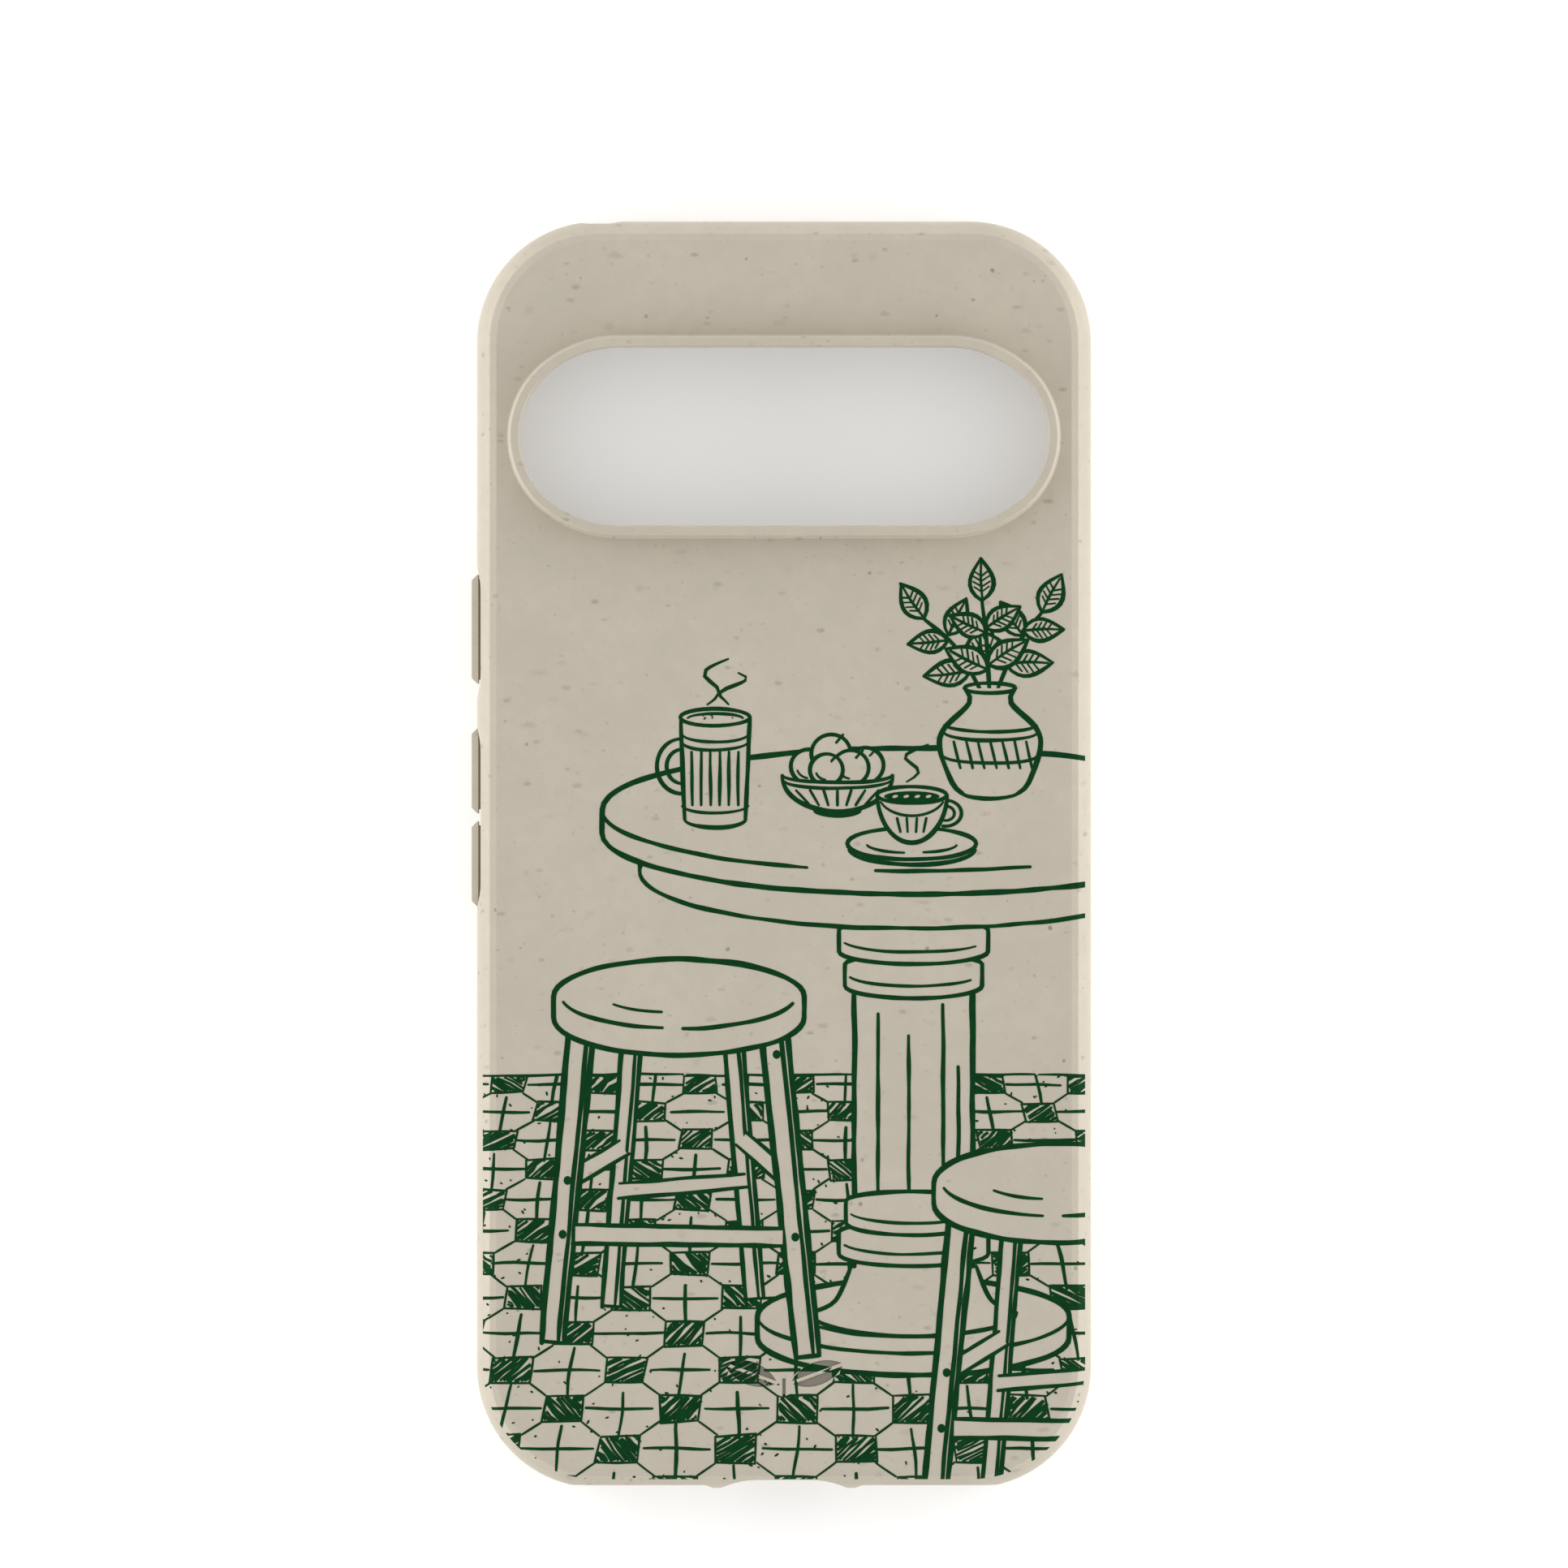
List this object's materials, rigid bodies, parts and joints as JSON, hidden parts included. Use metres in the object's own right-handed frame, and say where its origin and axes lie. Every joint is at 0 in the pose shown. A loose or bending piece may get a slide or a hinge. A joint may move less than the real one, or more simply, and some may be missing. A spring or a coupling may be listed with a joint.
{
  "type": "phone case",
  "caption": "Protective phone case with a raised lip around its camera window, side buttons that press, and openings for the charging port and speakers.",
  "frame": {"origin": "middle of the shell's footprint, on the plane that its front rim rests on", "axes": "+Z out of the case's back, away from the phone's screen; +Y towards the phone's top end and the camera window; the side buttons are on the -X side"},
  "size_m": [0.0768, 0.1568, 0.0142],
  "materials": {
    "shell": "satin, speckled",
    "button": "satin",
    "web": "matte",
    "ink": "semi-matte print"
  },
  "bodies": {
    "case": {"shell": "shell", "power_button_web": "web", "volume_buttons_web": "web"},
    "power": {"power_button": "button"},
    "volume_up": {"volume_up_button": "button"},
    "volume_down": {"volume_down_button": "button"}
  },
  "joints": [
    {"name": "power_press", "type": "slide", "parent": "case", "child": "power", "axis": [1, 0, 0], "range_m": [0, 0.0003], "stiffness_N_per_m": 1500},
    {"name": "volume_up_press", "type": "slide", "parent": "case", "child": "volume_up", "axis": [1, 0, 0], "range_m": [0, 0.0003], "stiffness_N_per_m": 1500},
    {"name": "volume_down_press", "type": "slide", "parent": "case", "child": "volume_down", "axis": [1, 0, 0], "range_m": [0, 0.0003], "stiffness_N_per_m": 1500}
  ]
}
